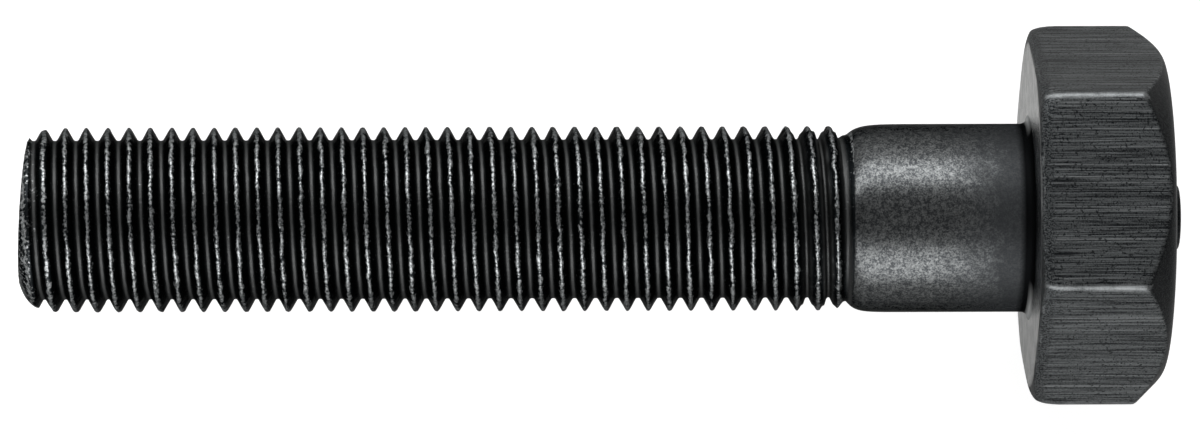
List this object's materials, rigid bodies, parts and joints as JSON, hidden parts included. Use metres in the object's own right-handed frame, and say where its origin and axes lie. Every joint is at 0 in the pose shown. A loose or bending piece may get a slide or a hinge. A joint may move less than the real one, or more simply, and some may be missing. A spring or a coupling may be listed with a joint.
{
  "type": "hex bolt",
  "caption": "Hexagon-head bolt in blackened steel with a plain shank, a fine right-hand rolled thread and a chamfered point.",
  "frame": {"origin": "centre of the flat end of the thread", "axes": "+X along the bolt's axis from the thread's end to the head, +Z square to one of the hexagon's flats, +Y through one of its corners"},
  "size_m": [0.0693, 0.023, 0.02],
  "materials": {
    "black_oxide_steel": "black oxide on hardened steel, lightly oiled, worn to bright metal on the thread's crests and the edges of the head"
  },
  "bodies": {
    "root": {"hex_bolt": "black_oxide_steel"}
  },
  "joints": []
}
